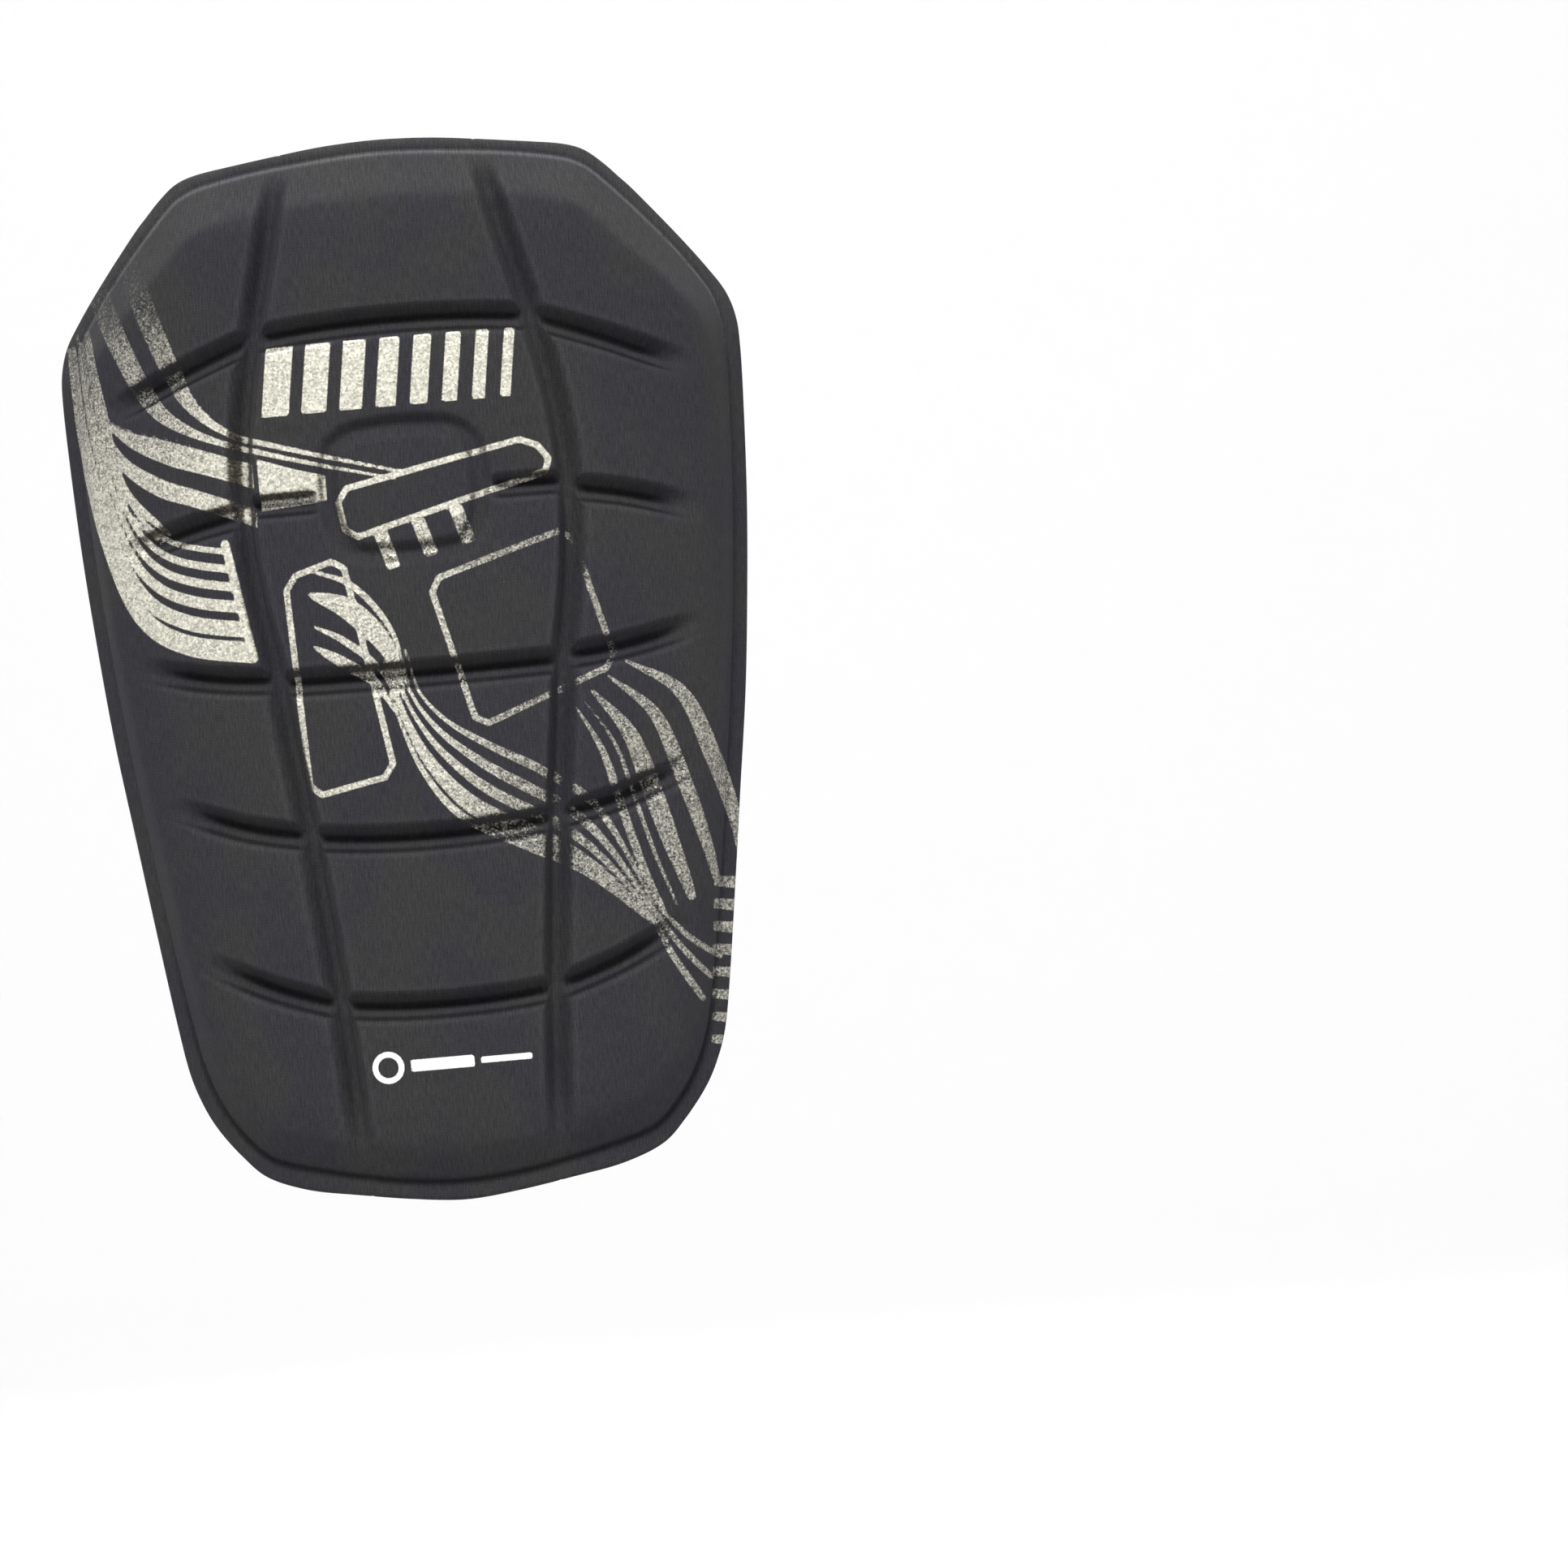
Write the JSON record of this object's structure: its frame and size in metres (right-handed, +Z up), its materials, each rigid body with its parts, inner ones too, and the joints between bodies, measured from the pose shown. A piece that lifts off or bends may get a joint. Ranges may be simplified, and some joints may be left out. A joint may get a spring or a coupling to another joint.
{
  "type": "shin guard",
  "caption": "Soft articulated shin guard: foam pads under a dark knit fabric with a metallic stripe print, with grooves that let its wings flex round the shin.",
  "frame": {"origin": "middle of the lining's flat strip, on the face that lies against the shin", "axes": "+Z up the shin, +X to the right seen from in front, +Y towards the leg"},
  "size_m": [0.1386, 0.034, 0.21],
  "materials": {
    "face_fabric": "charcoal brushed knit with a warm silver foil print",
    "pad_foam": "matt closed-cell foam",
    "web_foam": "matt pressed foam",
    "lining": "dark perforated mesh"
  },
  "bodies": {
    "spine": {"spine_pad_top": "pad_foam", "spine_pad_arch": "pad_foam", "spine_pad_inset": "pad_foam", "spine_pad_saddle": "pad_foam", "spine_pad_middle": "pad_foam", "spine_pad_lower": "pad_foam", "spine_pad_bottom": "pad_foam", "spine_web": "web_foam", "spine_lining": "lining", "spine_face_fabric": "face_fabric"},
    "left_wing": {"left_pad_1": "pad_foam", "left_pad_2": "pad_foam", "left_pad_3": "pad_foam", "left_pad_4": "pad_foam", "left_pad_5": "pad_foam", "left_pad_6": "pad_foam", "left_web": "web_foam", "left_lining": "lining", "left_face_fabric": "face_fabric"},
    "right_wing": {"right_pad_1": "pad_foam", "right_pad_2": "pad_foam", "right_pad_3": "pad_foam", "right_pad_4": "pad_foam", "right_pad_5": "pad_foam", "right_pad_6": "pad_foam", "right_web": "web_foam", "right_lining": "lining", "right_face_fabric": "face_fabric"}
  },
  "joints": [
    {"name": "left_flex", "type": "hinge", "parent": "spine", "child": "left_wing", "pos_m": [-0.026, 0.00205, 0], "axis": [0, 0, -1], "range_deg": [-10, 25], "stiffness_Nm_per_rad": 0.06},
    {"name": "right_flex", "type": "hinge", "parent": "spine", "child": "right_wing", "pos_m": [0.026, 0.00205, 0], "axis": [0, 0, 1], "range_deg": [-10, 25], "stiffness_Nm_per_rad": 0.06}
  ]
}
